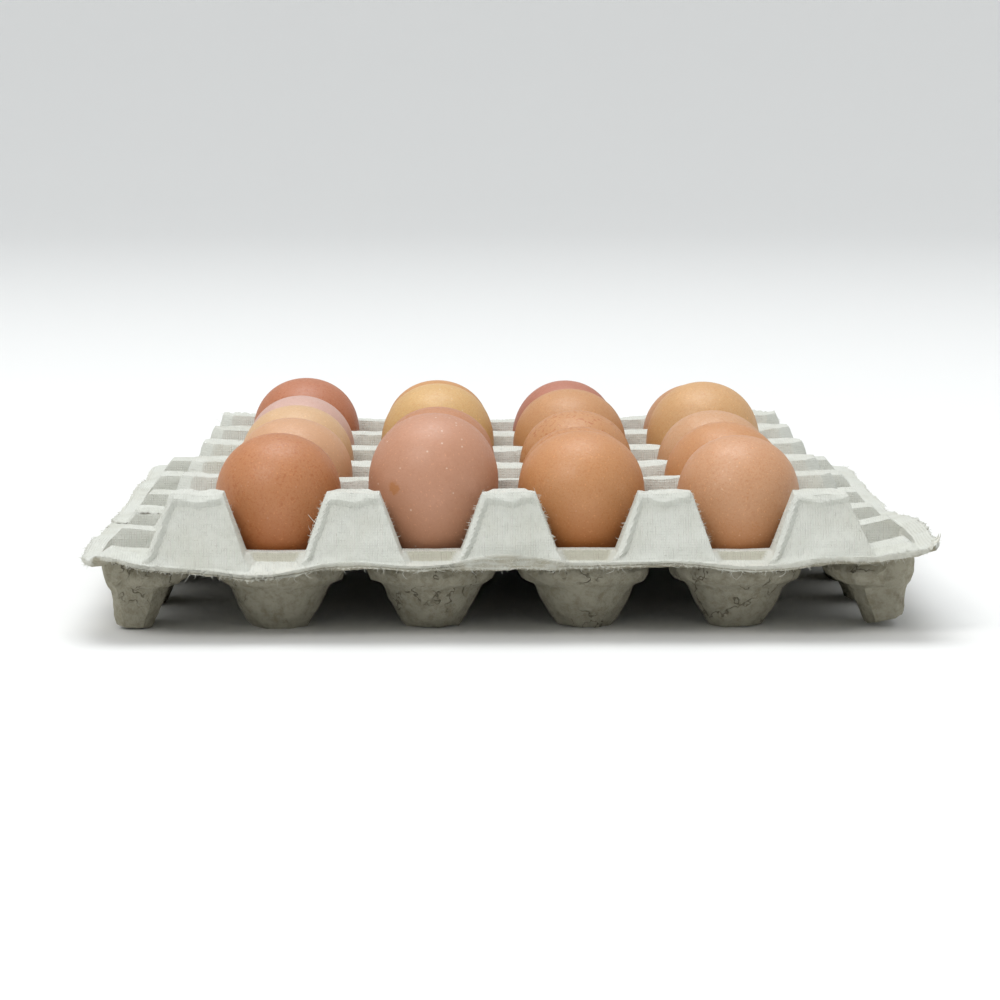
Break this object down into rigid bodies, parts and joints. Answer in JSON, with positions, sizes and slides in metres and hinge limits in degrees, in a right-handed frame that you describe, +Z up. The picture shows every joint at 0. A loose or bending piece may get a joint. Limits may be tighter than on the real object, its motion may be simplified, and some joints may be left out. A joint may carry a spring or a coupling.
{
  "type": "egg carton with eggs",
  "caption": "Moulded-pulp egg tray with posts and low ridges between its cups, filled with brown hen's eggs, for carrying and stacking.",
  "frame": {"origin": "centre of the whole part's bounding box, on the plane that the tray's feet stand on", "axes": "+Z up, +X to the right along the side with the short rows of eggs, +Y to the back along the side with the long rows"},
  "size_m": [0.2971, 0.297, 0.0754],
  "materials": {
    "pulp": "matte",
    "shell_1_1": "satin",
    "shell_1_2": "satin",
    "shell_1_3": "satin",
    "shell_1_4": "satin",
    "shell_2_1": "satin",
    "shell_2_2": "satin",
    "shell_2_3": "satin",
    "shell_2_4": "satin",
    "shell_3_1": "satin",
    "shell_3_2": "satin",
    "shell_3_3": "satin",
    "shell_3_4": "satin",
    "shell_4_1": "satin",
    "shell_4_2": "satin",
    "shell_4_3": "satin",
    "shell_4_4": "satin",
    "shell_5_1": "satin",
    "shell_5_2": "satin",
    "shell_5_3": "satin",
    "shell_5_4": "satin"
  },
  "bodies": {
    "root": {"tray": "pulp", "egg_1_1": "shell_1_1", "egg_1_2": "shell_1_2", "egg_1_3": "shell_1_3", "egg_1_4": "shell_1_4", "egg_2_1": "shell_2_1", "egg_2_2": "shell_2_2", "egg_2_3": "shell_2_3", "egg_2_4": "shell_2_4", "egg_3_1": "shell_3_1", "egg_3_2": "shell_3_2", "egg_3_3": "shell_3_3", "egg_3_4": "shell_3_4", "egg_4_1": "shell_4_1", "egg_4_2": "shell_4_2", "egg_4_3": "shell_4_3", "egg_4_4": "shell_4_4", "egg_5_1": "shell_5_1", "egg_5_2": "shell_5_2", "egg_5_3": "shell_5_3", "egg_5_4": "shell_5_4"}
  },
  "joints": []
}
